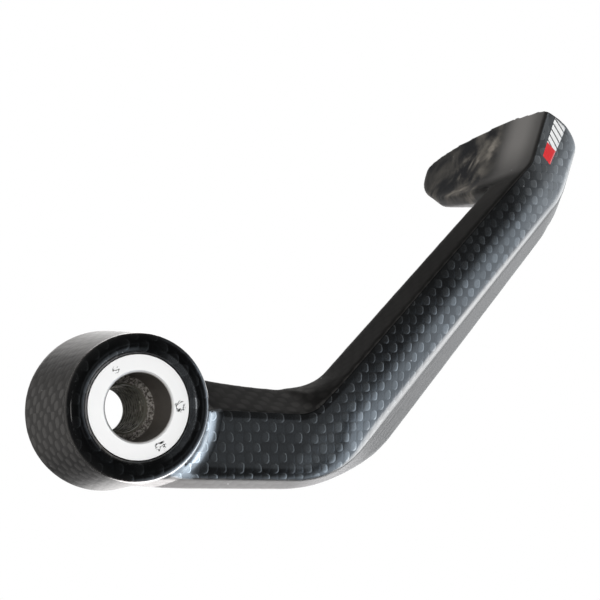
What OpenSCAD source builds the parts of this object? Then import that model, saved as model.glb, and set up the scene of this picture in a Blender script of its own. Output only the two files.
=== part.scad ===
// Brake lever guard of moulded carbon fibre with a bonded aluminium bush.
// +Y runs along the bush, inboard. +X is forward along the arm and +Z is up.
// The origin is on the bush's axis at its back face.

/* [Bush] */
// Outer diameter of the aluminium bush
bush_d = 20; // [18:0.5:21]
// Length of the bush
bush_len = 25; // [22:0.5:30]
// Diameter of the counterbore for the bolt's head
head_bore_d = 13.2; // [11:0.1:15]
// Depth of the counterbore
head_bore_depth = 10.2; // [6:0.1:13]
// Diameter of the through bore for the bolt
bolt_bore_d = 9.5; // [6:0.1:10]
// Chamfer at the mouth of the counterbore
mouth_chamfer = 0.4; // [0.1:0.1:0.8]
// Chamfer on the outer edge at the back
back_chamfer = 0.5; // [0.2:0.1:0.8]
// Thickness of the glue line around the bush
glue_gap = 0.05; // [0.02:0.01:0.15]

/* [Boss] */
// Radius of the boss's side level with the bush's front face
boss_front_r = 14.2; // [14:0.1:16]
// Largest radius of the boss, near its back
boss_back_r = 16.6; // [16:0.1:19]
// How far the carbon rim stands out past the bush's front face
rim_proud = 1.4; // [0.6:0.1:2]
// Rounding of the front rim
rim_round = 1.3; // [0.5:0.1:1.8]
// Rounding of the back edge
boss_back_round = 3; // [1:0.5:5]
// How far the bush stands out past the boss's back
bush_back_proud = 0.3; // [0.1:0.1:1]

/* [Arm] */
// Distance of the arm's front face behind the bush's front face
face_setback = 5; // [4:0.5:8]
// Angle of the near part, downwards below the horizontal
near_drop = 5.4; // [0:0.2:12]
// Length from the bush's axis to the first bend's corner
near_len = 40.5; // [32:0.5:60]
// Upward angle of the long part
long_angle = 42; // [30:1:50]
// Length between the corners of the two bends
long_len = 88.9; // [70:0.1:120]
// Upward angle of the last part
tip_angle = 65; // [55:1:75]
// Length of the last part, from its corner to the rounded end
tip_len = 17; // [14:0.1:24]
// Inner radius of the first bend
near_bend_r = 8; // [7:0.5:16]
// Inner radius of the second bend
tip_bend_r = 5; // [3:0.5:12]
// Width of the front face in the near part
near_w = 13.8; // [12:0.1:15]
// Width of the front face in the long part
long_w = 14.8; // [12:0.1:17]
// Width of the front face at the end of the long part
far_w = 14; // [12:0.1:16]
// Width of the front face in the last part
tip_w = 13.2; // [11:0.1:15]
// Depth of the arm at the boss
root_depth = 16; // [14:0.5:18]
// Depth of the arm after the first bend
long_depth = 13.5; // [11:0.5:16]
// Depth of the arm before the fin
far_depth = 11.5; // [9:0.5:14]

/* [Fin] */
// Reach of the fin behind the arm's front face
fin_reach = 52; // [36:0.5:64]
// Thickness of the fin at its free edge
fin_edge = 3.6; // [3:0.1:6]
// Thickness of the fin where it leaves the arm
fin_root = 6.5; // [5:0.1:9]
// Length along the arm over which the fin's lower edge falls back to the arm
fin_run = 18.5; // [16:0.5:36]

/* [Hidden] */
$fn = 96;

carbon = [0.12, 0.13, 0.14];
aluminium = [0.86, 0.87, 0.88];

// Depths along Y, from the outboard side to the inboard side
bush_front_y = -bush_len;
rim_y = bush_front_y - rim_proud;
face_y = bush_front_y + face_setback;
boss_back_y = -bush_back_proud;
boss_widest_y = boss_back_y - boss_back_round;

// Overhang of the arm's walls past its front face, which gives the mould its draft
top_lean_near = 6.75;
top_lean_long = 0.55;
top_lean_fade = 10.3;
top_lean_dip = 0.1;
bend1_share = 0.58;
bend1_power = 2.5;
bend1_ease_len = 11.5;
tip_ease_lead = 4;
tip_ease_tail = 10;
root_flare = 5.6;
root_flare_len = 40;
low_lean_root = 1.6;
low_lean_root_len = 12;
low_lean_near = 2.4;
low_lean_long = 7.7;
low_lean_far = 5.9;
low_lean_tip = 3.2;
low_lean_y = 7.5;
low_lean_y_long = 10.5;
low_tuck = 2;
low_tuck_tip = 1;

// Crown that turns the front face over to the outer crease, and the shares of it
// that are left where its slope steepens
crown_w_near = 2;
crown_w_long = 8.5;
crown_w_tip = 5;
crown_drop_near = 0.4;
crown_drop_long = 3.1;
crown_drop_tip = 1.7;
shoulder_w = 0.3;
shoulder_drop = 0.45;

// Rounding of the section's corners
back_round = 2;
front_round = 1;
crown_round = 20;
shoulder_round = 6;
crease_round = 0.4;
lean_round = 6;
fillet_round = 4;
fin_edge_round = 1.4;

// Where the rounded end begins to close, before the end of the last part, and the power
// of the curve of the fin's lower edge
fin_close = 5.6;
fin_sweep = 3.1;
fin_crest_y = 20;
block_close = 6.4;
block_end = 0.9;
front_close = 2.2;

// Height of the fillet between the boss and the arm's front face
boss_fillet = 2;

// Width of the slope from the carbon rim down to the bush
rim_slope_w = 1.3;

// Points on each of a section's nine corners, and the least step between two of its corners
corner_points = [4, 4, 6, 5, 2, 6, 4, 4, 4];
step = 0.1;
wedge_step = 0.05;

// Number of sections along each stretch of the path, and how far round the end they go
near_steps = 8;
bend1_steps = 12;
fade_steps = 9;
long_steps = 6;
fin_steps = 10;
bend2_steps = 5;
tip_steps = 10;
end_steps = 12;
end_sweep = 86;

// Limits of a corner's rounding, as a length and as a share of its shorter side
least_reach = 0.02;
most_reach = 0.48;

// The path is the upper edge of the front face. It is two bends between three straight parts.
near_turn = long_angle + near_drop;
tip_turn = tip_angle - long_angle;
near_tangent = near_bend_r * tan(near_turn / 2);
tip_tangent = tip_bend_r * tan(tip_turn / 2);
near_arc = near_bend_r * near_turn * PI / 180;
tip_arc = tip_bend_r * tip_turn * PI / 180;
s_bend1 = near_len - near_tangent;
s_long = s_bend1 + near_arc;
s_bend2 = s_long + long_len - near_tangent - tip_tangent;
s_tip = s_bend2 + tip_arc;
s_end = s_tip + tip_len - tip_tangent;
s_fin_full = s_end - fin_close;
s_fin_low = s_fin_full - fin_run;
path_start = [0, 0.3];

function lerp(a, b, k) = a + (b - a) * k;
function unit(k) = max(0, min(1, k));
function ease(k) = let (c = unit(k)) c * c * (3 - 2 * c);
function fade(k) = (1 - unit(k)) ^ 2;
function heading(a) = [cos(a), sin(a)];
function upward(a) = [-sin(a), cos(a)];
function arc_end(p, a, r, turn) = p + r * (upward(a) - upward(a + turn));

bend1_at = path_start + s_bend1 * heading(-near_drop);
long_at = arc_end(bend1_at, -near_drop, near_bend_r, near_turn);
bend2_at = long_at + (s_bend2 - s_long) * heading(long_angle);
tip_at = arc_end(bend2_at, long_angle, tip_bend_r, tip_turn);

// Angle of the path at length s
function path_angle(s) =
    s < s_bend1 ? -near_drop
    : s < s_long ? -near_drop + near_turn * (s - s_bend1) / near_arc
    : s < s_bend2 ? long_angle
    : s < s_tip ? long_angle + tip_turn * (s - s_bend2) / tip_arc
    : tip_angle;

// Point of the path at length s, as [x, z]
function path_point(s) =
    s < s_bend1 ? path_start + s * heading(-near_drop)
    : s < s_long ? arc_end(bend1_at, -near_drop, near_bend_r, path_angle(s) + near_drop)
    : s < s_bend2 ? long_at + (s - s_long) * heading(long_angle)
    : s < s_tip ? arc_end(bend2_at, long_angle, tip_bend_r, path_angle(s) - long_angle)
    : tip_at + (s - s_tip) * heading(tip_angle);

// Sizes of the section at length s
function in_bend1(s) = unit((s - s_bend1) / near_arc);
function along_long(s) = unit((s - s_long) / (s_bend2 - s_long));
function bend1_ease(s) =
    s < s_long ? bend1_share * in_bend1(s) ^ bend1_power
    : 1 - (1 - bend1_share) * fade((s - s_long) / bend1_ease_len);
function tip_ease(s) = ease((s - s_bend2 + tip_ease_lead) / (tip_arc + tip_ease_lead + tip_ease_tail));
function face_w(s) =
    lerp(lerp(near_w, lerp(long_w, far_w, along_long(s)), bend1_ease(s)), tip_w, tip_ease(s));
function low_lean(s) =
    let (near = lerp(low_lean_root, low_lean_near, unit(s / low_lean_root_len)),
        long = lerp(low_lean_long, low_lean_far, along_long(s)))
    lerp(lerp(near, long, bend1_ease(s)), low_lean_tip, tip_ease(s));
function low_lean_depth(s) = lerp(low_lean_y, low_lean_y_long, bend1_ease(s));
function top_lean_share(s) =
    s < s_long ? 1 - top_lean_dip * in_bend1(s) ^ 2
    : (1 - top_lean_dip) * fade((s - s_long) / top_lean_fade);
function top_lean(s) =
    lerp(0, top_lean_long, ease((s_bend2 - s) / top_lean_fade))
    + (top_lean_near - top_lean_long) * top_lean_share(s)
    + root_flare * fade(s / root_flare_len);
function crown_w(s) = lerp(lerp(crown_w_near, crown_w_long, bend1_ease(s)), crown_w_tip, tip_ease(s));
function crown_drop(s) =
    lerp(lerp(crown_drop_near, crown_drop_long, bend1_ease(s)), crown_drop_tip, tip_ease(s));
function arm_depth(s) =
    lerp(lerp(root_depth, long_depth, unit(s / s_long)), far_depth, along_long(s));

// Shares of full size that are left as the rounded end closes
function quarter(k) = sqrt(1 - unit(k) ^ 2);
function block_share(s) = quarter((s - s_end + block_close) / (block_close - block_end));
function blade_share(s) = quarter((s - s_fin_full) / fin_close);
function front_depth(s) = fin_crest_y * (1 - quarter((s - s_end + front_close) / front_close));

// The fin's lower edge falls away from its tip, ever faster towards the arm's back
function fin_rise(s) = unit((s_fin_full - s) / fin_run) ^ fin_sweep;
function back_depth(s) =
    s < s_fin_low ? arm_depth(s)
    : s < s_fin_full ? lerp(fin_reach, arm_depth(s), fin_rise(s))
    : lerp(fin_crest_y, fin_reach, blade_share(s));
function fin_grow(s) = ease((s - s_fin_low) / (fin_run - fin_close));

// One section, as nine corners [across, depth, rounding] from the upper back edge round to the fin
function section(s) =
    let (block = block_share(s),
        blade = blade_share(s),
        w = max(face_w(s) * block, fin_edge * blade),
        lean = low_lean(s) * block,
        crown = min(crown_w(s), w / 2),
        drop = crown_drop(s) * block,
        front = front_depth(s),
        back = back_depth(s),
        tuck = lerp(low_tuck, low_tuck_tip, tip_ease(s)) * block,
        arm_back = max(w + lean - tuck, fin_root * blade),
        wedge = lerp(fin_root, arm_back - wedge_step, fin_grow(s)) * blade)
    [[-top_lean(s), back, lerp(back_round, fin_edge_round, fin_grow(s))],
        [0, front, front_round],
        [w - crown, front, crown_round],
        [w - crown * shoulder_w, front + drop * shoulder_drop + step / 2, shoulder_round],
        [w, front + drop + step, crease_round],
        [w + lean, max(low_lean_depth(s) * block, front + 2 * step), lean_round],
        [arm_back, arm_depth(s), back_round],
        [wedge, arm_depth(s) + step, fillet_round],
        [fin_edge * blade, back + step, fin_edge_round]];

// A rounded corner at b between a and c, as a curve of n points
function corner(a, b, c, r, n) =
    let (u = (a - b) / norm(a - b),
        v = (c - b) / norm(c - b),
        half = acos(max(-0.9999, min(0.9999, u * v))) / 2,
        reach = max(least_reach, min(r / tan(half), most_reach * min(norm(a - b), norm(c - b)))))
    [for (i = [0:n - 1])
        let (k = i / (n - 1))
        (1 - k) ^ 2 * (b + u * reach) + 2 * k * (1 - k) * b + k ^ 2 * (b + v * reach)];

function flat(list) = [for (part = list) each part];
function outline(corners) =
    let (m = len(corners), p = [for (c = corners) [c[0], c[1]]])
    flat([for (i = [0:m - 1])
        corner(p[(i + m - 1) % m], p[i], p[(i + 1) % m], corners[i][2], corner_points[i])]);

// A section's outline, set across the path at length s
function ring(s) =
    let (p = path_point(s), down = -upward(path_angle(s)))
    [for (q = outline(section(s)))
        [p[0] + q[0] * down[0], face_y + q[1], p[1] + q[0] * down[1]]];

function steps(a, b, n) = [for (i = [1:n]) lerp(a, b, i / n)];
stations = concat(
    [1],
    steps(1, s_bend1, near_steps),
    steps(s_bend1, s_long, bend1_steps),
    steps(s_long, s_long + top_lean_fade, fade_steps),
    steps(s_long + top_lean_fade, s_fin_low, long_steps),
    steps(s_fin_low, s_bend2, fin_steps),
    steps(s_bend2, s_tip, bend2_steps),
    steps(s_tip, s_end - block_close, tip_steps),
    [for (i = [1:end_steps]) s_end - block_close * (1 - sin(i * end_sweep / end_steps))]);

module loft(rings) {
    n = len(rings[0]);
    last = len(rings) - 1;
    walls = [for (i = [0:last - 1], j = [0:n - 1])
        let (a = i * n + j, b = i * n + (j + 1) % n)
        each [[a, b + n, b], [a, a + n, b + n]]];
    polyhedron(
        points = flat(rings),
        faces = concat(
            [[for (j = [0:n - 1]) j]],
            walls,
            [[for (j = [n - 1:-1:0]) last * n + j]]),
        convexity = 8);
}

// Turns a profile of [radius, y] points about the bush's axis
module turned() {
    rotate([-90, 0, 0]) rotate_extrude() children();
}

// The boss's side at a depth y
function boss_r(y) = lerp(boss_front_r, boss_back_r, (y - bush_front_y) / (boss_widest_y - bush_front_y));

module boss_body() {
    rim_r = boss_r(rim_y);
    turned() difference() {
        polygon([[0, rim_y], [rim_r, rim_y], [boss_r(boss_back_y), boss_back_y], [0, boss_back_y]]);
        rounding_cut([rim_r, rim_y], rim_round, -1);
        rounding_cut([boss_r(boss_back_y), boss_back_y], boss_back_round, 1);
    }
}

// What a rounding of radius r takes off a corner of the profile, towards the side's +Y or -Y end
module rounding_cut(at, r, side) {
    centre = [boss_r(at[1] - side * r) - r, at[1] - side * r];
    difference() {
        translate([centre[0], side > 0 ? centre[1] : centre[1] - r - 1]) square([2 * r + 1, r + 1]);
        translate(centre) circle(r);
    }
}

// Fillet between the boss's side and the arm's front face
module boss_fillet_ring() {
    inner_r = boss_front_r - rim_round;
    corner_r = boss_r(face_y);
    intersection() {
        turned() difference() {
            polygon([[inner_r, face_y - boss_fillet], [corner_r, face_y - boss_fillet],
                [corner_r + boss_fillet, face_y - step], [corner_r + boss_fillet, face_y + 1],
                [inner_r, face_y + 1]]);
            translate([corner_r + boss_fillet, face_y - boss_fillet]) circle(boss_fillet);
        }
        fillet_sector();
    }
}

// The arm's front outline beside the boss, as a block that bounds the fillet
module fillet_sector() {
    reach = boss_r(face_y) + 2 * boss_fillet;
    high = path_start;
    low = path_start - (near_w - crown_w_near / 2) * upward(-near_drop);
    translate([0, face_y + 1, 0]) rotate([90, 0, 0]) linear_extrude(2 * boss_fillet)
        polygon([high, high + reach * heading(-near_drop), low + reach * heading(-near_drop), low]);
}

module carbon_arm() {
    seat_r = bush_d / 2 + glue_gap;
    color(carbon) difference() {
        union() {
            boss_body();
            loft([for (s = stations) ring(s)]);
            boss_fillet_ring();
        }
        turned() polygon([[0, rim_y - 1], [seat_r + rim_slope_w, rim_y - 1], [seat_r + rim_slope_w, rim_y],
            [seat_r, bush_front_y - step], [seat_r, 1], [0, 1]]);
    }
}

module bar_end_bush() {
    bush_r = bush_d / 2;
    head_r = head_bore_d / 2;
    bolt_r = bolt_bore_d / 2;
    shoulder_y = bush_front_y + head_bore_depth;
    color(aluminium) turned() polygon([
        [head_r + mouth_chamfer, bush_front_y],
        [bush_r, bush_front_y],
        [bush_r, -back_chamfer],
        [bush_r - back_chamfer, 0],
        [bolt_r, 0],
        [bolt_r, shoulder_y],
        [head_r, shoulder_y],
        [head_r, bush_front_y + mouth_chamfer]]);
}

carbon_arm();
bar_end_bush();
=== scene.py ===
"""Brake lever guard: looks for its moulded carbon arm, bonded aluminium bush and label film."""

import math

import bmesh
import bpy
from bpy.props import FloatProperty, FloatVectorProperty, IntProperty, PointerProperty
from mathutils import Matrix, Vector
from mathutils.bvhtree import BVHTree


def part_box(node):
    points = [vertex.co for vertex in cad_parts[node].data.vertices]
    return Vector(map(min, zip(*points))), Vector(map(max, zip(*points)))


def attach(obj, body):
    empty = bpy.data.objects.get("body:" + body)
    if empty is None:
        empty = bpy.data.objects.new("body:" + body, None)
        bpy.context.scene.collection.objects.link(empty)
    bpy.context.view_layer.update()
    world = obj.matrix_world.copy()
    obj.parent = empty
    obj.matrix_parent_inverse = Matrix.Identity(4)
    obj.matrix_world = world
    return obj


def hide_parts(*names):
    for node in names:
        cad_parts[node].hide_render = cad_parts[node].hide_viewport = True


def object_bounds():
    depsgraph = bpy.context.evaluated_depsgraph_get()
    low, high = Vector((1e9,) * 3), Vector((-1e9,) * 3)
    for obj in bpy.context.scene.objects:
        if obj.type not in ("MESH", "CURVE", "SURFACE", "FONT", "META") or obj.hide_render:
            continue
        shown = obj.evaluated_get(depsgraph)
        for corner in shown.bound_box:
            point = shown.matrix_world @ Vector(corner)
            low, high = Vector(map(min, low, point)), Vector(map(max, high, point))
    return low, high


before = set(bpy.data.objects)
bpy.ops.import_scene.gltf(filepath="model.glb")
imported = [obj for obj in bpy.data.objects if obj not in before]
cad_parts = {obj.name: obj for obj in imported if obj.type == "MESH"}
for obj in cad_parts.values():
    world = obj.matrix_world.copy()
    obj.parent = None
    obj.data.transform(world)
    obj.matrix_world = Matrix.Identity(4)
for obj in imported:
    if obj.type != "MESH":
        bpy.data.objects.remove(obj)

CAD_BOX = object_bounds()

bl_info = {
    "name": "Brake lever guard",
    "version": (1, 0, 0),
    "blender": (4, 5, 0),
    "location": "View3D > Sidebar > Lever Guard",
    "description": "Carbon weave, machined bush, label film and studio for a brake lever guard",
    "category": "Add Mesh",
}

MM = 0.001

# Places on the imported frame, in metres
BUSH_FRONT_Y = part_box("bar_end_bush")[0].y
SHOULDER_Y = BUSH_FRONT_Y + 10.2 * MM
HEAD_BORE_R = 6.6 * MM
BOLT_BORE_R = 4.75 * MM
BOSS_R = -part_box("carbon_arm")[0].x
FACE_BOSS_R = BOSS_R - 1.2 * MM
ARM_FACE_Y = BUSH_FRONT_Y + 5 * MM
LONG_START_X = 42 * MM

# The long part's direction as X and Z, the way its inner wall faces, and the plane of the fin's
# inner side as its normal and its distance behind the origin
LONG_RUN = (0.743, 0.669)
INNER_WALL = (-LONG_RUN[1], 0.0, LONG_RUN[0])
FIN_PLANE = (-0.906, 0.0, 0.423)
FIN_PLANE_BACK = 72.7 * MM

# The film's corners on the arm's face as X and Z in millimetres, low and high at each end
FILM_NEAR = ((112.1, 55.4), (110.0, 57.6))
FILM_FAR = ((118.6, 65.6), (115.2, 67.9))
FILM_COLUMNS = 28
FILM_ROWS = 8
FILM_SUNK = 0.02 * MM


# Node helpers

class Graph:
    """Adds nodes to one tree, lays them out in rows and links what each one reads."""

    def __init__(self, tree):
        self.tree = tree
        self.count = 0

    def add(self, kind, inputs=None, **settings):
        node = self.tree.nodes.new(kind)
        node.location = (220 * (self.count % 10), -260 * (self.count // 10))
        self.count += 1
        for name, value in settings.items():
            setattr(node, name, value)
        self.give(node, inputs or {})
        return node

    def feed(self, socket, value):
        if isinstance(value, bpy.types.NodeSocket):
            self.tree.links.new(value, socket)
        else:
            socket.default_value = value

    def give(self, node, values):
        """Feeds a node's inputs by their names or numbers."""
        for name, value in values.items():
            self.feed(node.inputs[name], value)

    def math(self, operation, *values):
        return self.add("ShaderNodeMath", dict(enumerate(values)), operation=operation).outputs[0]

    def chain(self, operation, values):
        total = values[0]
        for value in values[1:]:
            total = self.math(operation, total, value)
        return total

    def product(self, *values):
        return self.chain("MULTIPLY", values)

    def most(self, *values):
        return self.chain("MAXIMUM", values)

    def line(self, value, slope, start):
        """The start, with the value times the slope added to it."""
        return self.math("MULTIPLY_ADD", value, slope, start)

    def rest(self, value):
        """What the value leaves of 1."""
        return self.math("SUBTRACT", 1.0, value)

    def smooth(self, value, low, high):
        """0 below low and 1 above high, eased between them. A low above high turns it round."""
        node = self.add(
            "ShaderNodeMapRange",
            {"Value": value, "From Min": low, "From Max": high},
            interpolation_type="SMOOTHSTEP",
        )
        return node.outputs["Result"]

    def vector(self, operation, *values):
        node = self.add("ShaderNodeVectorMath", dict(enumerate(values)), operation=operation)
        return node.outputs["Value" if operation in ("DOT_PRODUCT", "LENGTH") else "Vector"]

    def scale(self, vector, by):
        node = self.add("ShaderNodeVectorMath", {0: vector, "Scale": by}, operation="SCALE")
        return node.outputs[0]

    def split(self, vector):
        return self.add("ShaderNodeSeparateXYZ", {0: vector}).outputs

    def join(self, x=0.0, y=0.0, z=0.0):
        return self.add("ShaderNodeCombineXYZ", {0: x, 1: y, 2: z}).outputs[0]

    def radius(self, place):
        """Distance from the bush's axis."""
        return self.vector("LENGTH", self.vector("MULTIPLY", place, (1.0, 0.0, 1.0)))

    def blend(self, share, first, second):
        """Mix of two numbers."""
        node = self.add("ShaderNodeMix", {0: share, 2: first, 3: second}, data_type="FLOAT")
        return node.outputs[0]

    def tint(self, share, first, second):
        """Mix of two colours, with or without their alpha."""
        first, second = (
            (*c, 1.0) if not isinstance(c, bpy.types.NodeSocket) and len(c) == 3 else c
            for c in (first, second))
        node = self.add("ShaderNodeMix", {0: share, 6: first, 7: second}, data_type="RGBA")
        return node.outputs[2]

    def choose(self, share, first, second):
        """Mix of two vectors."""
        node = self.add("ShaderNodeMix", {0: share, 4: first, 5: second}, data_type="VECTOR")
        return node.outputs[1]

    def noise(self, place, scale, detail=2.0, roughness=0.5, distortion=0.0):
        node = self.add("ShaderNodeTexNoise", {
            "Vector": place, "Scale": scale, "Detail": detail,
            "Roughness": roughness, "Distortion": distortion})
        return node.outputs["Fac"]

    def place(self):
        """The place in the shared frame, because every piece stays at its origin."""
        return self.add("ShaderNodeTexCoord").outputs["Object"]

    def group(self, name, inputs):
        node = self.add("ShaderNodeGroup")
        node.node_tree = bpy.data.node_groups[name]
        self.give(node, inputs)
        return node.outputs

    def bump(self, shader, height, distance, strength=1.0):
        node = self.add("ShaderNodeBump", {
            "Strength": strength, "Distance": distance, "Height": height})
        self.feed(shader.inputs["Normal"], node.outputs[0])


def new_group(name, inputs, outputs):
    """A shader node group with named sockets. Returns its graph, its inputs and its output node."""
    tree = bpy.data.node_groups.new(name, "ShaderNodeTree")
    for socket, (kind, value) in inputs.items():
        made = tree.interface.new_socket(name=socket, in_out="INPUT", socket_type=kind)
        if value is not None:
            made.default_value = value
    for socket, kind in outputs.items():
        tree.interface.new_socket(name=socket, in_out="OUTPUT", socket_type=kind)
    graph = Graph(tree)
    return graph, graph.add("NodeGroupInput").outputs, graph.add("NodeGroupOutput")


def new_material(name, **constants):
    """A material with one Principled shader. Returns it, its graph and the shader node."""
    material = bpy.data.materials.new(name)
    material.use_nodes = True
    tree = material.node_tree
    tree.nodes.clear()
    graph = Graph(tree)
    shader = graph.add("ShaderNodeBsdfPrincipled", constants)
    graph.add("ShaderNodeOutputMaterial", {"Surface": shader.outputs[0]})
    return material, graph, shader


# Shader node groups

FLOAT = "NodeSocketFloat"
VECTOR = "NodeSocketVector"

# Powers of a tow's rounded outline, across it and along it
TOW_SIDE = 2.2
TOW_END = 3.2


def build_tow_weave():
    """Plain weave: upright and level tows that take turns on top, with each tow's crown."""
    g, given, out = new_group(
        "tow_weave",
        {"Place": (VECTOR, None), "Tow Width": (FLOAT, 1.95 * MM), "Tow Height": (FLOAT, 2.1 * MM),
         "Waviness": (FLOAT, 0.42)},
        {"Crown": FLOAT, "Upright": FLOAT, "Right Edge": FLOAT, "Rise": FLOAT, "Shade": FLOAT,
         "Strand": FLOAT},
    )
    drift = g.noise(given["Place"], scale=260.0, detail=1.0)
    sway = g.product(g.math("SUBTRACT", drift, 0.5), given["Waviness"])
    cells = g.vector("DIVIDE", given["Place"], g.join(given["Tow Width"], given["Tow Height"], 1.0))
    cells = g.vector("ADD", cells, g.join(sway, sway))
    u, v, _ = g.split(cells)
    column, row = g.math("FLOOR", u), g.math("FLOOR", v)
    upright = g.math("FLOORED_MODULO", g.math("ADD", column, row), 2.0)

    # Distance from the tow's middle, from 0 to 1 at its rounded outline
    from_left = g.math("FRACT", u)
    du = g.math("ABSOLUTE", g.line(from_left, 2.0, -1.0))
    dv = g.math("ABSOLUTE", g.line(g.math("FRACT", v), 2.0, -1.0))
    tall = g.math("ADD", g.math("POWER", du, TOW_SIDE), g.math("POWER", dv, TOW_END))
    wide = g.math("ADD", g.math("POWER", du, TOW_END), g.math("POWER", dv, TOW_SIDE))

    # The painted highlight's bright arc runs along the right edge of an upright tow
    band = g.product(g.smooth(tall, 0.45, 0.78), g.smooth(tall, 1.1, 0.88))
    shade = g.add(
        "ShaderNodeTexWhiteNoise", {"Vector": g.join(column, row)}, noise_dimensions="2D")
    tall_place = g.vector("MULTIPLY", cells, (14.0, 1.4, 1.0))
    wide_place = g.vector("MULTIPLY", cells, (1.4, 14.0, 1.0))
    g.give(out, {
        "Crown": g.smooth(g.blend(upright, wide, tall), 1.25, 0.0),
        "Upright": g.product(upright, g.smooth(tall, 1.1, 0.7)),
        "Right Edge": g.product(g.smooth(from_left, 0.45, 0.8), band, upright),
        "Rise": from_left,
        "Shade": shade.outputs["Value"],
        "Strand": g.noise(g.choose(upright, wide_place, tall_place), scale=1.0),
    })


def build_cloth_place():
    """Place on the cloth in metres: across the faces, round the boss or along the arm's walls."""
    g, given, out = new_group(
        "cloth_place",
        {"Position": (VECTOR, None), "Normal": (VECTOR, None), "Boss Slope": (FLOAT, 0.23),
         "Face Slope": (FLOAT, 0.08)},
        {"Place": VECTOR, "Face": FLOAT, "Back": FLOAT, "Boss": FLOAT, "Rim": FLOAT,
         "Beside": FLOAT, "Across": FLOAT},
    )
    x, y, z = g.split(given["Position"])
    facing = g.split(given["Normal"])[1]
    radius = g.radius(given["Position"])
    boss = g.smooth(radius, BOSS_R + 1.0 * MM, BOSS_R + 0.6 * MM)

    # The coat covers the front faces, the boss's rim and the fillet beside the arm
    rim = g.product(boss, g.smooth(y, BUSH_FRONT_Y + 0.9 * MM, BUSH_FRONT_Y + 0.3 * MM))
    beside = g.product(
        g.smooth(radius, BOSS_R + 3 * MM, BOSS_R + 2 * MM),
        g.smooth(x, 3 * MM, 7 * MM),
        g.smooth(y, ARM_FACE_Y + 1.2 * MM, ARM_FACE_Y + 0.8 * MM),
        g.smooth(facing, -0.45, -0.6),
        g.smooth(z, -16.5 * MM, -14 * MM))
    front = g.most(g.smooth(facing, -0.73, -0.80), rim, beside)
    back = g.smooth(facing, 0.73, 0.80)
    face = g.most(front, back)

    # Rows wind round the boss, follow the arm's walls and slope on the face near the boss
    turn = g.product(g.math("ARCTAN2", z, x), BOSS_R)
    wound = g.math("SUBTRACT", turn, g.product(y, given["Boss Slope"]))
    past = g.math("SUBTRACT", x, LONG_START_X)
    along = g.math("ADD", g.product(past, LONG_RUN[0]), g.product(z, LONG_RUN[1]))
    run = g.blend(g.math("GREATER_THAN", past, 0.0), x, g.math("ADD", along, LONG_START_X))
    walls = g.choose(boss, g.join(run, y), g.join(y, wound))
    drop = g.product(g.math("MINIMUM", x, LONG_START_X), given["Face Slope"])
    g.give(out, {
        "Place": g.choose(face, walls, g.join(x, g.math("ADD", z, drop))),
        "Face": front,
        "Back": back,
        "Boss": g.product(boss, g.rest(face)),
        "Rim": g.product(boss, g.smooth(y, BUSH_FRONT_Y + 4 * MM, BUSH_FRONT_Y + 2 * MM)),
        "Beside": beside,
        "Across": g.math("SUBTRACT", g.product(z, LONG_RUN[0]), g.product(past, LONG_RUN[1])),
    })


def build_handling_wear():
    """Dust specks, rubbed haze and fine scratches, for the coated and the machined finishes."""
    g, given, out = new_group(
        "handling_wear",
        {"Position": (VECTOR, None), "Speck Size": (FLOAT, 0.18 * MM), "Cells": (FLOAT, 330.0)},
        {"Specks": FLOAT, "Haze": FLOAT, "Scratches": FLOAT},
    )
    cell = g.add("ShaderNodeTexVoronoi", {
        "Vector": given["Position"], "Scale": given["Cells"], "Randomness": 1.0}, feature="F1")
    near = g.math(
        "LESS_THAN", cell.outputs["Distance"], g.product(given["Speck Size"], given["Cells"]))
    picked = g.math("GREATER_THAN", g.split(cell.outputs["Color"])[0], 0.86)
    rubbed = g.noise(given["Position"], scale=70.0, detail=4.0, roughness=0.6, distortion=0.4)
    drawn = g.vector("MULTIPLY", given["Position"], (1.0, 9.0, 0.35))
    lines = g.noise(drawn, scale=900.0, detail=3.0, roughness=0.65)
    g.give(out, {
        "Specks": g.product(near, picked),
        "Haze": g.smooth(rubbed, 0.42, 0.72),
        "Scratches": g.smooth(lines, 0.68, 0.76),
    })


# Materials

TIP_PAINTED_LIGHT = (0.062, 0.067, 0.072)
FILLET_PAINTED_HIGHLIGHT = (0.066, 0.072, 0.078)
WALL_DUST = (0.034, 0.033, 0.032)
RESIN_PAINTED_SHADE = (0.032, 0.0315, 0.031)
RESIN_PAINTED_LIGHT = (0.16, 0.155, 0.15)
RESIN_PATCH = (0.008, 0.009, 0.011)
RESIN_MARBLE = (0.24, 0.22, 0.19)
SPECK = (0.5, 0.5, 0.5)

METAL_TURNED = (0.72, 0.72, 0.73)
BORE_DEEP = (0.16, 0.155, 0.125)
BORE_RINGS = (0.05, 0.046, 0.04)
SHOULDER_WORN = (0.42, 0.40, 0.37)
NICK = (0.015, 0.015, 0.015)
RIDGE_DULL = (0.10, 0.095, 0.075)
FILM_GROUND = (0.016, 0.017, 0.018)
FILM_RUBBED = (0.25, 0.25, 0.25)

# Height of the weave and of the finer grains
WEAVE_RELIEF = 0.05 * MM
METAL_RELIEF = 0.02 * MM
FILM_RELIEF = 0.01 * MM

# Middles of the bush's nicks as X and Z, and their reach, in millimetres
NICKS = ((-4.3, 7.2, 0.8), (8.2, -0.3, 1.3), (3.9, -7.6, 1.3))


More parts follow.
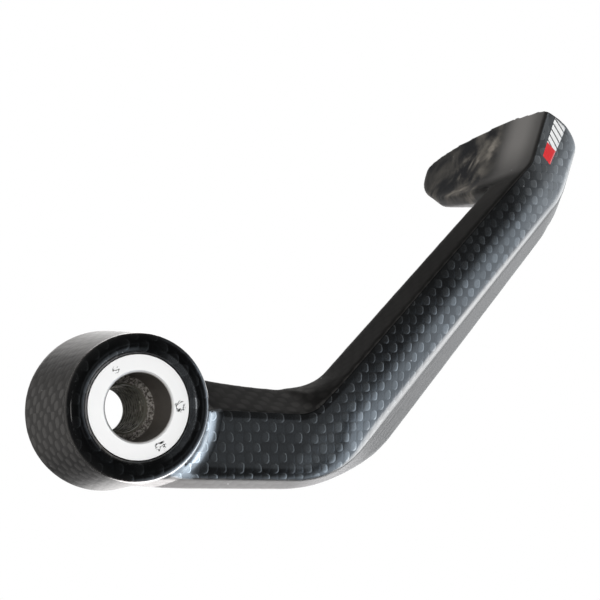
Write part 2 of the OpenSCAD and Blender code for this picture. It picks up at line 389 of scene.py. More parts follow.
def arm_masks(g, cloth, place, normal):
    """Where the arm's looks change, each from 0 to 1."""
    x = g.split(place)[0]
    _, facing_y, facing_z = g.split(normal)
    return {
        "far": g.smooth(x, 55 * MM, 95 * MM),
        "tip_haze_and_painted_light": g.smooth(x, 97 * MM, 112 * MM),
        "bend": g.smooth(x, 62 * MM, 48 * MM),
        "fillet": g.product(cloth["Beside"], g.smooth(facing_y, -0.98, -0.90)),
        "crease": g.product(
            g.smooth(facing_y, -0.93, -0.82), g.math("LESS_THAN", cloth["Rim"], 0.01),
            g.smooth(x, 30 * MM, 40 * MM)),
        "inner_wall": g.smooth(g.vector("DOT_PRODUCT", normal, INNER_WALL), 0.82, 0.92),
        "top_wall": g.smooth(facing_z, 0.84, 0.93),
        "outer_bend": g.product(
            g.smooth(facing_y, -0.78, -0.74), g.smooth(facing_y, -0.3, -0.5),
            g.smooth(facing_z, -0.2, -0.4), g.smooth(x, 36 * MM, 46 * MM),
            g.smooth(x, 88 * MM, 66 * MM)),
    }


def fin_masks(g, place, normal):
    """The fin's bare inner side, the dark patch on it and the patch's pale marbling."""
    x, y, _ = g.split(place)
    inward = g.vector("DOT_PRODUCT", normal, FIN_PLANE)
    off_plane = g.math("ADD", g.vector("DOT_PRODUCT", place, FIN_PLANE), FIN_PLANE_BACK)
    on_fin = g.product(
        g.most(g.smooth(off_plane, 2.4 * MM, 0.4 * MM), g.smooth(y, -4 * MM, 1 * MM)),
        g.smooth(inward, -0.3, 0.1),
        g.smooth(x, 88 * MM, 96 * MM),
        g.smooth(y, -19.6 * MM, -18.4 * MM))
    drift = g.math("SUBTRACT", g.noise(place, scale=120.0, detail=3.0), 0.5)
    patch = g.product(on_fin, g.smooth(g.line(drift, 9 * MM, y), -6 * MM, 1 * MM))
    swirl = g.noise(
        g.vector("MULTIPLY", place, (1.0, 0.55, 1.2)), scale=48.0, detail=3.0, roughness=0.55,
        distortion=0.9)
    streak = g.product(g.smooth(swirl, 0.44, 0.52), g.smooth(swirl, 0.62, 0.53))
    cloud = g.noise(place, scale=105.0, detail=4.0, roughness=0.6, distortion=0.5)
    marble = g.product(
        patch, g.line(g.smooth(y, 24 * MM, 8 * MM), 0.5, 0.5), g.smooth(cloud, 0.40, 0.74),
        g.line(streak, 0.9, 0.5))
    return on_fin, patch, marble


def face_colour(g, look, cloth, tows, at):
    """Upright tows are coloured lighter than level tows, partly the weave's pattern and partly
    painted sheen, and end in a painted highlight arc.
    """
    # Painted highlight: each upright tow grows lighter from its left side to its right, except far
    # along the arm
    rise = g.line(tows["Rise"], 0.9, 0.15)
    body = g.product(tows["Upright"], g.blend(at["far"], rise, 1.15))
    lit = g.tint(body, look.level_tow, look.upright_tow)

    # Painted light and shade: the tows are coloured darker along the inner edge, lighter from a
    # line beside it, and lightest round the bend
    inset = g.smooth(cloth["Across"], -3.5 * MM, -7.5 * MM)
    glow = g.most(g.blend(inset, 0.62, 1.0), at["tip_haze_and_painted_light"])
    lit = g.scale(lit, g.line(g.product(inset, at["bend"]), 1.1, glow))

    # Painted light toward the tip: the tows turn paler there, and far along the arm the arcs fade
    # into the tows
    lit = g.tint(g.product(at["tip_haze_and_painted_light"], 0.5), lit, TIP_PAINTED_LIGHT)
    # Painted highlight: the bright arc along each upright tow's right edge, fainter far along and
    # on the rim
    arc = g.product(
        tows["Right Edge"], g.line(at["far"], -0.45, 0.8), g.line(cloth["Rim"], -0.5, 1.0))
    lit = g.tint(arc, lit, look.tow_glint)
    # Painted highlight in the fillet beside the boss
    lit = g.tint(g.product(at["fillet"], 0.65), lit, FILLET_PAINTED_HIGHLIGHT)

    # The tows are coloured darker on the boss's rim and along the crease, lighter toward the tip
    # and much lighter in the fillet as painted light, and vary in tone from tow to tow
    return g.scale(lit, g.product(
        g.line(tows["Shade"], 0.6, 0.7), g.line(tows["Strand"], 0.4, 0.8),
        g.line(at["crease"], -0.7, 1.0), g.line(at["fillet"], 4.0, 1.0),
        g.line(cloth["Rim"], -0.65, 1.0), g.line(at["tip_haze_and_painted_light"], 0.65, 1.0)))


def wall_colour(g, look, cloth, tows, wear, at):
    """Dark satin walls with a trace of the weave, clearest on the boss and on the back."""
    through = g.product(g.line(cloth["Boss"], 0.7, 0.3), g.line(at["far"], -0.7, 1.0))
    through = g.most(through, g.product(cloth["Back"], 0.8))
    wall = g.tint(g.product(tows["Upright"], through), look.wall, look.wall_tow)
    wall = g.tint(g.product(wear["Haze"], 0.25), wall, WALL_DUST)
    # Painted light on the upward-facing top wall, and painted shade on the long part's inner wall
    return g.scale(wall, g.line(at["top_wall"], 0.9, g.line(at["inner_wall"], -0.6, 1.0)))


def resin_colour(g, place, patch, marble):
    """Bare resin on the fin's inner side, with painted light and shade: paler beside the arm and
    higher up, darker toward the crease, and dark with marbling inside.
    """
    _, y, z = g.split(place)
    # Painted light and shade: a lit and a shaded copy of the resin, blended by depth and height
    painted_light_share = g.product(
        g.smooth(y, -1 * MM, -10 * MM), g.line(g.smooth(y, -12 * MM, -19.5 * MM), -0.7, 1.0),
        g.smooth(z, 50 * MM, 64 * MM))
    resin = g.tint(painted_light_share, RESIN_PAINTED_SHADE, RESIN_PAINTED_LIGHT)
    return g.tint(marble, g.tint(patch, resin, RESIN_PATCH), RESIN_MARBLE)


def carbon_material(look):
    """Clear-coated weave on the faces, satin weave on the walls and dull resin inside the fin."""
    material, g, shader = new_material(
        "coated_carbon", **{
            "Coat Roughness": 0.045, "Coat IOR": 1.5, "IOR": 1.5, "Specular IOR Level": 0.4,
            "Specular Tint": (1.0, 0.95, 0.92, 1.0)})
    place = g.place()
    normal = g.add("ShaderNodeNewGeometry").outputs["Normal"]
    cloth = g.group("cloth_place", {"Position": place, "Normal": normal})
    tows = g.group("tow_weave", {
        "Place": cloth["Place"], "Tow Width": look.tow_width, "Tow Height": look.tow_height})
    wear = g.group("handling_wear", {"Position": place})
    at = arm_masks(g, cloth, place, normal)
    on_fin, patch, marble = fin_masks(g, place, normal)
    bare = g.rest(on_fin)

    colour = g.tint(
        cloth["Face"], wall_colour(g, look, cloth, tows, wear, at),
        face_colour(g, look, cloth, tows, at))
    colour = g.tint(on_fin, colour, resin_colour(g, place, patch, marble))
    colour = g.tint(g.product(wear["Specks"], 0.5), colour, SPECK)

    fibre = g.blend(at["tip_haze_and_painted_light"], 0.9, 0.25)
    rough = g.blend(cloth["Boss"], g.blend(at["inner_wall"], 0.60, 0.75), 0.34)
    rough = g.blend(cloth["Face"], rough, 0.24)
    rough = g.blend(on_fin, rough, g.line(marble, 0.25, 0.5))

    # The coat is thinner toward the tip, beside the bush and along the crease
    thin = g.most(
        g.product(at["tip_haze_and_painted_light"], 0.6),
        g.product(g.smooth(g.radius(place), 13.8 * MM, 12.4 * MM), 0.6),
        g.product(at["crease"], 0.4))
    g.give(shader, {
        "Base Color": colour,
        "Metallic": g.product(g.blend(cloth["Face"], 0.1, fibre), bare),
        "Roughness": g.line(wear["Scratches"], 0.06, rough),
        "Coat Weight": g.product(g.blend(cloth["Face"], 0.08, 1.0), bare, g.rest(thin)),
    })

    crown = g.product(
        tows["Crown"], g.blend(cloth["Face"], 0.3, g.line(at["far"], -0.6, 1.0)),
        g.line(at["crease"], -0.7, 1.0), g.line(at["fillet"], -0.7, 1.0))
    height = g.line(tows["Strand"], 0.06, crown)
    height = g.blend(on_fin, height, g.product(marble, 0.6))

    # The cloth is drawn into long streaks on the outer wall round the bend
    long_place = g.vector("MULTIPLY", cloth["Place"], (0.13, 1.0, 1.0))
    drawn = g.noise(long_place, scale=1300.0, detail=3.0, roughness=0.6)
    height = g.line(g.product(at["outer_bend"], drawn), 3.5, height)
    g.bump(shader, height, WEAVE_RELIEF)
    return material


def bush_material(look):
    """Machined aluminium: bright turned face with nicks, darker bores and a rough shoulder."""
    material, g, shader = new_material("machined_aluminium", **{"IOR": 1.45, "Anisotropic": 0.3})
    place = g.place()
    wear = g.group("handling_wear", {"Position": place, "Speck Size": 0.12 * MM})
    x, y, z = g.split(place)
    radius = g.radius(place)
    facing = g.split(g.add("ShaderNodeNewGeometry").outputs["Normal"])[1]
    flat = g.smooth(g.math("ABSOLUTE", facing), 0.6, 0.8)
    front = g.product(flat, g.smooth(y, BUSH_FRONT_Y + 2 * MM, BUSH_FRONT_Y + 1 * MM))
    back = g.product(flat, g.smooth(y, -3 * MM, -1 * MM))
    inside = g.product(
        g.smooth(radius, HEAD_BORE_R + 0.5 * MM, HEAD_BORE_R + 0.2 * MM),
        g.smooth(y, BUSH_FRONT_Y + 0.1 * MM, BUSH_FRONT_Y + 0.5 * MM), g.rest(back))
    deep = g.smooth(radius, BOLT_BORE_R + 0.5 * MM, BOLT_BORE_R + 0.2 * MM)
    shoulder = g.product(inside, flat, g.rest(deep))

    turning = g.noise(g.join(g.product(radius, 9000.0), y), scale=1.0)
    grain = g.noise(place, scale=2600.0, detail=3.0, roughness=0.7)
    rings = g.noise(g.join(g.product(y, 4200.0)), scale=1.0)

    # Each nick is a scribble of slanted strokes
    nicked = 0.0
    for nick_x, nick_z, reach in NICKS:
        middle = (nick_x * MM, 0.0, nick_z * MM)
        away = g.vector("LENGTH", g.vector("SUBTRACT", g.join(x, 0.0, z), middle))
        nicked = g.most(nicked, g.smooth(away, reach * MM, 0.7 * reach * MM))
    slanted = g.join(g.math("SUBTRACT", x, z), g.product(g.math("ADD", x, z), 0.4))
    strokes = g.noise(slanted, scale=620.0, roughness=0.55, distortion=1.8)
    nicks = g.product(nicked, g.smooth(strokes, 0.45, 0.47), g.smooth(strokes, 0.56, 0.54), front)

    colour = g.tint(g.product(turning, 0.25), look.metal, METAL_TURNED)
    bore = g.tint(deep, look.bore_film, BORE_DEEP)
    bore = g.tint(g.product(rings, 0.6), bore, BORE_RINGS)
    colour = g.tint(inside, colour, bore)
    colour = g.tint(g.product(shoulder, g.smooth(grain, 0.42, 0.6)), colour, SHOULDER_WORN)
    metal = g.blend(inside, g.blend(front, 1.0, 0.35), 0.6)
    rough = g.blend(inside, g.line(turning, 0.12, 0.36), 0.42)
    g.give(shader, {
        "Base Color": g.tint(nicks, colour, NICK),
        "Metallic": g.product(metal, g.rest(nicks)),
        "Roughness": g.line(wear["Scratches"], 0.12, rough),
    })

    height = g.line(turning, 0.3, g.product(grain, 0.15))
    height = g.line(g.product(rings, inside), 1.6, height)
    g.bump(shader, g.line(nicks, -2.0, height), METAL_RELIEF, strength=0.8)
    return material


def ridge_material(look):
    """Burnished crests of the ridges in the through bore."""
    material, g, shader = new_material("burnished_ridge", Metallic=0.8)
    place = g.place()
    wear = g.group("handling_wear", {"Position": place, "Speck Size": 0.2 * MM})
    worn = g.smooth(g.noise(place, scale=900.0, detail=3.0, roughness=0.6), 0.4, 0.65)
    g.give(shader, {
        "Base Color": g.tint(worn, RIDGE_DULL, look.ridge_crest),
        "Roughness": g.line(wear["Scratches"], 0.1, g.line(worn, -0.12, 0.45)),
    })
    g.bump(shader, worn, METAL_RELIEF, strength=0.6)
    return material


def film_material(look):
    """Printed film: one block of colour and plain slanted bars, under a satin surface."""
    material, g, shader = new_material(
        "printed_film", **{"Coat Weight": 0.5, "Coat Roughness": 0.15})
    place = g.place()
    wear = g.group("handling_wear", {"Position": place, "Speck Size": 0.1 * MM})
    length, across, _ = g.split(g.add("ShaderNodeUVMap", uv_map="film").outputs[0])
    slanted = g.line(across, look.bar_slant, length)
    bars = g.math("FRACT", g.product(slanted, look.bar_count))
    bars = g.product(g.smooth(bars, 0.08, 0.14), g.smooth(bars, 0.92, 0.86))
    printed = g.tint(bars, FILM_GROUND, look.bar_colour)
    printed = g.tint(g.smooth(length, 0.345, 0.36), look.block_colour, printed)
    g.give(shader, {
        "Base Color": g.tint(g.product(wear["Haze"], 0.12), printed, FILM_RUBBED),
        "Roughness": g.line(wear["Haze"], 0.1, 0.35),
    })
    g.bump(shader, g.noise(place, scale=3000.0), FILM_RELIEF, strength=0.3)
    return material


# Meshes

def merged_copy(node_name, name):
    """A copy of a CAD node with its loose triangles merged."""
    made = bpy.data.objects.new(name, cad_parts[node_name].data.copy())
    bpy.context.scene.collection.objects.link(made)
    shape = bmesh.new()
    shape.from_mesh(made.data)
    bmesh.ops.remove_doubles(shape, verts=shape.verts, dist=0.0002 * MM)
    shape.to_mesh(made.data)
    shape.free()
    return made


def bake_modifiers(made):
    """Turns an object with modifiers into a plain mesh."""
    graph = bpy.context.evaluated_depsgraph_get()
    mesh = bpy.data.meshes.new_from_object(made.evaluated_get(graph))
    made.modifiers.clear()
    made.data = mesh


def remesh_skin(made, step, passes):
    """Gives an object an even skin of small faces, relaxed by some smoothing passes."""
    remesh = made.modifiers.new("skin", "REMESH")
    remesh.mode = "VOXEL"
    remesh.voxel_size = step
    remesh.use_smooth_shade = True
    if passes:
        relax = made.modifiers.new("relax", "SMOOTH")
        relax.factor = 0.5
        relax.iterations = passes
    bake_modifiers(made)


def ramp(value, start, length):
    """0 up to start, then a straight rise to 1 over a length."""
    return min(1.0, max(0.0, (value - start) / length))


def widen_fillet(made, reach, height):
    """Raises the arm's face beside the boss into a round fillet that fades at its lower edge."""
    wall_y = ARM_FACE_Y + 0.6 * MM
    foot_z = -16 * MM
    for vertex in made.data.vertices:
        x, y, z = vertex.co
        gap = math.hypot(x, z) - FACE_BOSS_R
        target = ARM_FACE_Y - height * ((reach - gap) / reach) ** 2
        if x > 0 and 0 < gap < reach and target < y:
            share = ramp(-y, -wall_y, 0.45 * MM) * ramp(z, foot_z, 5 * MM)
            vertex.co.y += (target - y) * share


def dress(made, material):
    made.data.materials.clear()
    made.data.materials.append(material)
    made.data.shade_smooth()


def ring_tree(material):
    """Geometry Nodes: ring ridges at an even pitch along Y, from their own named sizes."""
    tree = bpy.data.node_groups.new("bore_ridges", "GeometryNodeTree")
    for name, kind, value in (
            ("Bore Radius", FLOAT, BOLT_BORE_R), ("Ridge Radius", FLOAT, 0.1 * MM),
            ("Pitch", FLOAT, 1.2 * MM), ("Start", FLOAT, 0.0), ("Count", "NodeSocketInt", 9)):
        made = tree.interface.new_socket(name=name, in_out="INPUT", socket_type=kind)
        made.default_value = value
    tree.interface.new_socket(
        name="Geometry", in_out="OUTPUT", socket_type="NodeSocketGeometry")
    g = Graph(tree)
    given = g.add("NodeGroupInput").outputs
    hoop = g.add("GeometryNodeCurvePrimitiveCircle", {
        "Resolution": 64, "Radius": given["Bore Radius"]})
    bead = g.add("GeometryNodeCurvePrimitiveCircle", {
        "Resolution": 8, "Radius": given["Ridge Radius"]})
    swept = g.add("GeometryNodeCurveToMesh", {
        "Curve": hoop.outputs["Curve"], "Profile Curve": bead.outputs["Curve"]})
    turned = g.add("GeometryNodeTransform", {
        "Geometry": swept.outputs[0], "Rotation": (math.pi / 2, 0.0, 0.0)})
    row = g.add("GeometryNodeMeshLine", {
        "Count": given["Count"], "Start Location": g.join(y=given["Start"]),
        "Offset": g.join(y=given["Pitch"])})
    placed = g.add("GeometryNodeInstanceOnPoints", {
        "Points": row.outputs[0], "Instance": turned.outputs[0]})
    real = g.add("GeometryNodeRealizeInstances", {"Geometry": placed.outputs[0]})
    painted = g.add("GeometryNodeSetMaterial", {
        "Geometry": real.outputs[0], "Material": material})
    g.add("NodeGroupOutput", {"Geometry": painted.outputs[0]})
    return tree


def shown_faces(made):
    """A tree for casting rays at an object's faces."""
    points = [v.co.copy() for v in made.data.vertices]
    return BVHTree.FromPolygons(points, [list(p.vertices) for p in made.data.polygons])


def film_point(along, across):
    """A point in front of the film, from shares along and across it."""
    low, high = (
        Vector(near).lerp(Vector(far), along) for near, far in zip(FILM_NEAR, FILM_FAR))
    at = low.lerp(high, across) * MM
    return Vector((at.x, CAD_BOX[0].y - 10 * MM, at.y))


def film_faces():
    """The faces of the film's grid in front, of the one behind it, and of the rim between them."""
    width = FILM_ROWS + 1
    layer = (FILM_COLUMNS + 1) * width
    faces = []
    for i in range(FILM_COLUMNS):
        for j in range(FILM_ROWS):
            a = i * width + j
            faces.append((a, a + width, a + width + 1, a + 1))
            faces.append(tuple(layer + k for k in (a + 1, a + width + 1, a + width, a)))
    rim = [i * width for i in range(FILM_COLUMNS + 1)]
    rim += [FILM_COLUMNS * width + j for j in range(1, FILM_ROWS + 1)]
    rim += [i * width + FILM_ROWS for i in range(FILM_COLUMNS - 1, -1, -1)]
    rim += [j for j in range(FILM_ROWS - 1, 0, -1)]
    for a, b in zip(rim, rim[1:] + rim[:1]):
        faces.append((a, layer + a, layer + b, b))
    return faces


def film_mesh(name, on, thickness):
    """A thin closed film that follows the arm's face."""
    tree = shown_faces(on)
    points, uvs = [], []
    for side in (thickness, -FILM_SUNK):
        for i in range(FILM_COLUMNS + 1):
            for j in range(FILM_ROWS + 1):
                share = (i / FILM_COLUMNS, j / FILM_ROWS)
                hit, normal, _, _ = tree.ray_cast(film_point(*share), Vector((0.0, 1.0, 0.0)))
                if hit is None:
                    raise RuntimeError("the film's outline leaves the arm's face")
                points.append(hit + normal * side)
                uvs.append(share)
    mesh = bpy.data.meshes.new(name)
    mesh.from_pydata(points, [], film_faces())
    shape = bmesh.new()
    shape.from_mesh(mesh)
    bmesh.ops.recalc_face_normals(shape, faces=shape.faces)
    shape.to_mesh(mesh)
    shape.free()
    laid = mesh.uv_layers.new(name="film")
    for loop in mesh.loops:
        laid.data[loop.index].uv = uvs[loop.vertex_index]
    made = bpy.data.objects.new(name, mesh)
    bpy.context.scene.collection.objects.link(made)
    return made


# Settings

class GuardCarbonSettings(bpy.types.PropertyGroup):
    tow_width: FloatProperty(
        name="Tow Width", description="Pitch of the weave from one upright tow to the next",
        default=1.95 * MM, min=0.5 * MM, max=4 * MM, subtype="DISTANCE", unit="LENGTH")
    tow_height: FloatProperty(
        name="Tow Height", description="Pitch of the weave from one level tow to the next",
        default=2.1 * MM, min=0.5 * MM, max=4 * MM, subtype="DISTANCE", unit="LENGTH")
    mesh_step: FloatProperty(
        name="Mesh Step", description="Size of the moulded skin's faces",
        default=0.46 * MM, min=0.3 * MM, max=2 * MM, subtype="DISTANCE", unit="LENGTH")
    fillet_reach: FloatProperty(
        name="Fillet Reach", description="Width of the fillet beside the boss on the arm's face",
        default=4.2 * MM, min=0.5 * MM, max=6 * MM, subtype="DISTANCE", unit="LENGTH")
    fillet_height: FloatProperty(
        name="Fillet Height", description="Height of the fillet where it meets the boss",
        default=1.8 * MM, min=0.2 * MM, max=2 * MM, subtype="DISTANCE", unit="LENGTH")
    # The upright tows are set lighter than the level tows, partly as the weave's pattern and partly
    # as painted sheen
    upright_tow: FloatVectorProperty(
        name="Upright Tow", description="Colour of the upright tows' fibres",
        default=(0.078, 0.085, 0.091), min=0, max=1, subtype="COLOR")
    level_tow: FloatVectorProperty(
        name="Level Tow", description="Colour of the level tows' fibres",
        default=(0.034, 0.038, 0.042), min=0, max=1, subtype="COLOR")
    # Painted highlight: the colour of the bright arc along each upright tow's right edge
    tow_glint: FloatVectorProperty(
        name="Tow Glint", description="Colour of an upright tow where it dives under the next",
        default=(0.19, 0.205, 0.215), min=0, max=1, subtype="COLOR")
    wall: FloatVectorProperty(
        name="Wall", description="Colour of the satin walls",
        default=(0.010, 0.0099, 0.0098), min=0, max=1, subtype="COLOR")
    wall_tow: FloatVectorProperty(
        name="Wall Tow", description="Colour of the tows that show through the satin walls",
        default=(0.042, 0.041, 0.040), min=0, max=1, subtype="COLOR")


class GuardBushSettings(bpy.types.PropertyGroup):
    metal: FloatVectorProperty(
        name="Metal", description="Colour of the turned aluminium",
        default=(0.96, 0.965, 0.97), min=0, max=1, subtype="COLOR")
    bore_film: FloatVectorProperty(
        name="Counterbore", description="Colour of the dulled counterbore",
        default=(0.095, 0.084, 0.076), min=0, max=1, subtype="COLOR")
    ridge_crest: FloatVectorProperty(
        name="Ridge Crest", description="Colour of the rubbed crests in the through bore",
        default=(0.45, 0.43, 0.38), min=0, max=1, subtype="COLOR")
    ridge_count: IntProperty(
        name="Ridges", description="Number of ridges along the through bore",
        default=9, min=1, max=40)
    ridge_pitch: FloatProperty(
        name="Ridge Pitch", description="Distance from one ridge to the next",
        default=1.5 * MM, min=0.3 * MM, max=4 * MM, subtype="DISTANCE", unit="LENGTH")
    ridge_radius: FloatProperty(
        name="Ridge Radius", description="Radius of one ridge's bead",
        default=0.14 * MM, min=0.03 * MM, max=0.4 * MM, subtype="DISTANCE", unit="LENGTH")


class GuardFilmSettings(bpy.types.PropertyGroup):
    thickness: FloatProperty(
        name="Film Thickness", description="Thickness of the label film",
        default=0.05 * MM, min=0.02 * MM, max=0.3 * MM, subtype="DISTANCE", unit="LENGTH")
    block_colour: FloatVectorProperty(
        name="Block", description="Colour of the film's plain block",
        default=(0.62, 0.025, 0.03), min=0, max=1, subtype="COLOR")
    bar_colour: FloatVectorProperty(
        name="Bars", description="Colour of the film's slanted bars",
        default=(0.80, 0.81, 0.82), min=0, max=1, subtype="COLOR")
    bar_count: FloatProperty(
        name="Bar Count", description="Slanted bars in the film's whole length",
        default=7.0, min=2, max=30)
    bar_slant: FloatProperty(
        name="Bar Slant", description="Lean of the bars as a share of the film's length",
        default=-0.12, min=-1, max=1)


class GuardStageSettings(bpy.types.PropertyGroup):
    floor_drop: FloatProperty(
        name="Floor Drop", description="Distance from the guard's lowest point to the floor",
        default=0.33, min=0.0, max=1, subtype="DISTANCE", unit="LENGTH")
    floor_colour: FloatVectorProperty(
        name="Floor", description="Colour of the floor near the guard",
        default=(0.88, 0.88, 0.88), min=0, max=1, subtype="COLOR")
    lens: FloatProperty(
        name="Lens", description="Focal length of the camera in millimetres",
        default=60.0, min=10, max=300)
    room_level: FloatProperty(
        name="Room Level", description="Brightness of the room that gloss reflects",
        default=0.10, min=0, max=2)
    fill_level: FloatProperty(
        name="Fill Level", description="Brightness of the room as a fill light",
        default=0.40, min=0, max=2)


# Operators

class GUARD_OT_node_groups(bpy.types.Operator):
    """Build the shader node groups that the finishes share"""

    bl_idname = "guard.node_groups"
    bl_label = "Shared Finishes"

    def execute(self, context):
        build_tow_weave()
        build_cloth_place()
        build_handling_wear()
        return {"FINISHED"}


class GUARD_OT_carbon_arm(bpy.types.Operator):
    """Replace the arm's solid with its moulded, clear-coated carbon skin"""

    bl_idname = "guard.carbon_arm"
    bl_label = "Carbon Arm"

    def execute(self, context):
        look = context.scene.guard_carbon
        arm = merged_copy("carbon_arm", "moulded_arm")
        remesh_skin(arm, look.mesh_step, passes=0)
        widen_fillet(arm, look.fillet_reach, look.fillet_height)
        remesh_skin(arm, look.mesh_step, passes=5)
        dress(arm, carbon_material(look))
        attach(arm, "root")
        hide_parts("carbon_arm")
        return {"FINISHED"}


class GUARD_OT_bush(bpy.types.Operator):
    """Give the bush its turned face, dull counterbore and rough shoulder"""

    bl_idname = "guard.bush"
    bl_label = "Aluminium Bush"

    def execute(self, context):
        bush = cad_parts["bar_end_bush"]
        bush.data.materials.clear()
        bush.data.materials.append(bush_material(context.scene.guard_bush))
        return {"FINISHED"}


class GUARD_OT_bore_ridges(bpy.types.Operator):
    """Add the ring ridges in the bush's through bore"""

    bl_idname = "guard.bore_ridges"
    bl_label = "Bore Ridges"

    def execute(self, context):
        look = context.scene.guard_bush
        tree = ring_tree(ridge_material(look))
        made = bpy.data.objects.new("bore_ridges", bpy.data.meshes.new("bore_ridges"))
        context.scene.collection.objects.link(made)
        nodes = made.modifiers.new("ridges", "NODES")
        nodes.node_group = tree
        keys = {s.name: s.identifier for s in tree.interface.items_tree if s.in_out == "INPUT"}
        sizes = {
            "Bore Radius": BOLT_BORE_R, "Ridge Radius": look.ridge_radius,
            "Pitch": look.ridge_pitch, "Start": SHOULDER_Y + look.ridge_pitch,
            "Count": look.ridge_count}
        for name, value in sizes.items():
            nodes[keys[name]] = value
        bake_modifiers(made)
        made.data.shade_smooth()
        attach(made, "root")
        return {"FINISHED"}


class GUARD_OT_label_film(bpy.types.Operator):
    """Lay the plain printed film on the last part of the arm's face"""

    bl_idname = "guard.label_film"
    bl_label = "Label Film"

    def execute(self, context):
        look = context.scene.guard_film
        film = film_mesh("label_film", bpy.data.objects["moulded_arm"], look.thickness)
        dress(film, film_material(look))
        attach(film, "root")
        return {"FINISHED"}


class GUARD_OT_stage(bpy.types.Operator):
    """Set up the pale floor, the studio lights and the camera"""

    bl_idname = "guard.stage"
    bl_label = "Stage"

    def execute(self, context):
        look = context.scene.guard_stage
        scene = context.scene
        scene.view_settings.view_transform = "Standard"
        build_floor(look)
        build_world(scene, look)
        for softbox in SOFTBOXES:
            add_softbox(*softbox)
        add_camera(scene, look)
        return {"FINISHED"}


# Stage

CAMERA_AT = Vector((-0.06203, -0.20753, -0.0020))
CAMERA_RIGHT = Vector((0.8829, -0.466, -0.0572))
CAMERA_UP = Vector((0.0, -0.1219, 0.9925))
CAMERA_AHEAD = Vector((0.4695, 0.8764, 0.1076))
SENSOR_WIDTH = 36.0
LIT_POINT = Vector((0.06, -0.02, 0.02))

# Half the floor's side, and the distances over which it turns white for the camera
FLOOR_HALF = 4.0
FLOOR_WHITE = (0.15, 0.8)

# A softbox's watts for each square metre and step of its level
LEVEL_WATTS = 4

# Name, place, width and height, level, colour
SOFTBOXES = (
    ("left_key", (-0.265, -0.385, 0.03), (0.22, 0.34), 8.5, (1.0, 0.99, 0.97)),
    ("top_soft", (0.02, -0.12, 0.75), (0.5, 0.5), 1.0, (1.0, 1.0, 1.0)),
    ("right_low_fill", (0.384, -0.10, -0.25), (0.3, 0.3), 2.0, (1.0, 1.0, 1.0)),
)

# What gloss sees lit around the guard: direction, the cosines where it fades in and is full,
# radiance, colour
REFLECTIONS = (
    ((0.90, 0.0, -0.43), 0.50, 0.86, 1.55, (0.82, 0.91, 1.0)),
    ((0.87, 0.10, -0.50), 0.93, 1.0, 4.0, (0.97, 0.99, 1.0)),
    ((0.985, 0.08, -0.12), 0.965, 1.0, 1.6, (0.97, 0.99, 1.0)),
    ((0.88, 0.45, -0.15), 0.93, 0.985, 2.0, (1.0, 0.97, 0.94)),
    ((0.47, 0.66, -0.58), 0.88, 0.98, 4.5, (1.0, 0.98, 0.98)),
    ((0.47, 0.876, -0.08), 0.83, 0.95, 0.82, (1.0, 1.0, 1.0)),
    ((0.20, 0.93, 0.27), 0.925, 0.985, 1.3, (1.0, 0.99, 0.98)),
    ((0.44, -0.895, -0.05), 0.990, 0.999, 0.45, (0.85, 0.93, 1.0)),
    ((0.31, 0.74, 0.60), 0.985, 0.998, 0.8, (1.0, 0.97, 0.93)),
    ((-0.52, 0.86, 0.0), 0.80, 1.0, 0.22, (1.0, 0.97, 0.93)),
    ((-0.65, -0.73, 0.0), 0.985, 0.998, 3.0, (1.0, 0.97, 0.95)),
)


def add_softbox(name, at, size, level, colour):
    """An area light that faces the guard and that gloss doesn't see."""
    at = Vector(at)
    light = bpy.data.lights.new(name, "AREA")
    light.shape = "RECTANGLE"
    light.size, light.size_y = size
    light.energy = level * LEVEL_WATTS * size[0] * size[1]
    light.color = colour
    made = bpy.data.objects.new(name, light)
    made.location = at
    made.rotation_euler = (LIT_POINT - at).to_track_quat("-Z", "Y").to_euler()
    made.visible_glossy = False
    bpy.context.scene.collection.objects.link(made)


def add_camera(scene, look):
    """The camera that was fitted to the photograph."""
    lens = bpy.data.cameras.new("photo_camera")
    lens.lens = look.lens
    lens.sensor_width = SENSOR_WIDTH
    lens.clip_start = 0.01
    camera = bpy.data.objects.new("photo_camera", lens)
    scene.collection.objects.link(camera)
    turn = Matrix((CAMERA_RIGHT, CAMERA_UP, -CAMERA_AHEAD)).transposed()
    camera.matrix_world = Matrix.Translation(CAMERA_AT) @ turn.to_4x4()
    scene.camera = camera


def build_floor(look):
    """A pale floor that keeps the guard's shadow near it and turns white farther out."""
    level = CAD_BOX[0].z - look.floor_drop
    corners = [(x * FLOOR_HALF, y * FLOOR_HALF, level)
               for x, y in ((-1, -1), (1, -1), (1, 1), (-1, 1))]
    mesh = bpy.data.meshes.new("studio_floor")
    mesh.from_pydata(corners, [], [(0, 1, 2, 3)])
    floor = bpy.data.objects.new("studio_floor", mesh)
    bpy.context.scene.collection.objects.link(floor)
    material = bpy.data.materials.new("pale_floor")
    material.use_nodes = True
    material.node_tree.nodes.clear()
    g = Graph(material.node_tree)
    place = g.place()
    away = g.vector("LENGTH", g.vector("MULTIPLY", place, (1.0, 1.0, 0.0)))
    path = g.add("ShaderNodeLightPath").outputs
    seen = g.most(path["Is Camera Ray"], path["Is Transmission Ray"])
    white = g.product(seen, g.smooth(away, *FLOOR_WHITE))
    grain = g.noise(place, scale=40.0, detail=3.0)
    matt = g.add("ShaderNodeBsdfDiffuse", {
        "Color": g.tint(g.product(grain, 0.05), look.floor_colour, (0.8, 0.8, 0.8))})
    glow = g.add("ShaderNodeEmission", {"Strength": 1.0})
    mixed = g.add("ShaderNodeMixShader", {0: white, 1: matt.outputs[0], 2: glow.outputs[0]})
    g.add("ShaderNodeOutputMaterial", {"Surface": mixed.outputs[0]})
    mesh.materials.append(material)
    floor.visible_glossy = False


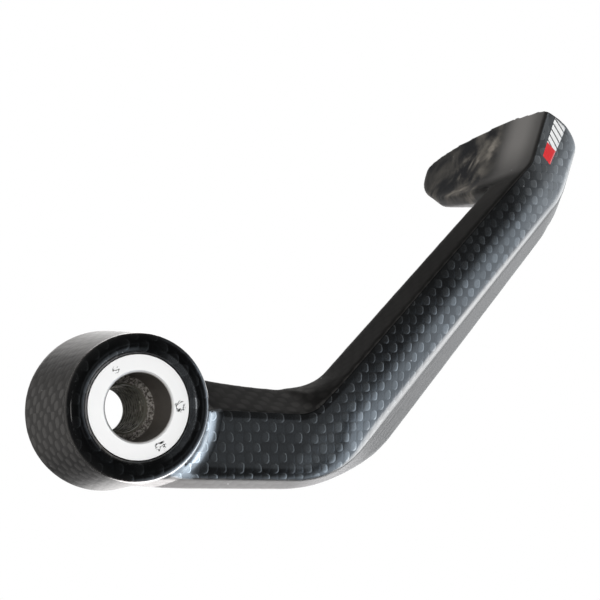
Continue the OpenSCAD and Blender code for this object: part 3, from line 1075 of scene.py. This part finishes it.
def build_world(scene, look):
    """White where the camera sees it, and soft lit patches in a dim room where gloss sees it."""
    world = bpy.data.worlds.new("studio")
    world.use_nodes = True
    scene.world = world
    world.node_tree.nodes.clear()
    g = Graph(world.node_tree)
    direction = g.add("ShaderNodeTexCoord").outputs["Generated"]
    path = g.add("ShaderNodeLightPath").outputs
    room = g.vector("ADD", (0.0, 0.0, 0.0), (look.room_level,) * 3)
    for toward, start, full, level, colour in REFLECTIONS:
        facing = g.vector("DOT_PRODUCT", direction, Vector(toward).normalized())
        lit = g.product(g.smooth(facing, start, full), level)
        room = g.vector("ADD", room, g.scale(colour, lit))
    shown = g.choose(path["Is Glossy Ray"], (look.fill_level,) * 3, room)
    seen = g.most(path["Is Camera Ray"], path["Is Transmission Ray"])
    glow = g.add("ShaderNodeBackground", {
        "Color": g.choose(seen, shown, (1.0, 1.0, 1.0)), "Strength": 1.0})
    g.add("ShaderNodeOutputWorld", {"Surface": glow.outputs[0]})


# Panel and registration

class GUARD_PT_panel(bpy.types.Panel):
    """The guard's sizes, colours and build steps"""

    bl_label = "Lever Guard"
    bl_idname = "GUARD_PT_panel"
    bl_space_type = "VIEW_3D"
    bl_region_type = "UI"
    bl_category = "Lever Guard"

    def draw(self, context):
        for title, key, operator in PANEL_ROWS:
            box = self.layout.box()
            box.label(text=title)
            if key:
                settings = getattr(context.scene, key)
                for name in settings.bl_rna.properties.keys():
                    if name not in ("rna_type", "name"):
                        box.prop(settings, name)
            box.operator(operator)


PANEL_ROWS = (
    ("Finishes", None, "guard.node_groups"),
    ("Arm", "guard_carbon", "guard.carbon_arm"),
    ("Bush", "guard_bush", "guard.bush"),
    ("Bore", None, "guard.bore_ridges"),
    ("Label", "guard_film", "guard.label_film"),
    ("Studio", "guard_stage", "guard.stage"),
)

SETTINGS = (
    ("guard_carbon", GuardCarbonSettings),
    ("guard_bush", GuardBushSettings),
    ("guard_film", GuardFilmSettings),
    ("guard_stage", GuardStageSettings),
)

CLASSES = (
    GuardCarbonSettings, GuardBushSettings, GuardFilmSettings, GuardStageSettings,
    GUARD_OT_node_groups, GUARD_OT_carbon_arm, GUARD_OT_bush, GUARD_OT_bore_ridges,
    GUARD_OT_label_film, GUARD_OT_stage, GUARD_PT_panel,
)


def register():
    for item in CLASSES:
        bpy.utils.register_class(item)
    for key, kind in SETTINGS:
        setattr(bpy.types.Scene, key, PointerProperty(type=kind))


def unregister():
    for key, _ in SETTINGS:
        delattr(bpy.types.Scene, key)
    for item in reversed(CLASSES):
        bpy.utils.unregister_class(item)


def main():
    register()
    bpy.ops.guard.node_groups()
    bpy.ops.guard.carbon_arm()
    bpy.ops.guard.bush()
    bpy.ops.guard.bore_ridges()
    bpy.ops.guard.label_film()
    bpy.ops.guard.stage()


if __name__ == "__main__":
    main()
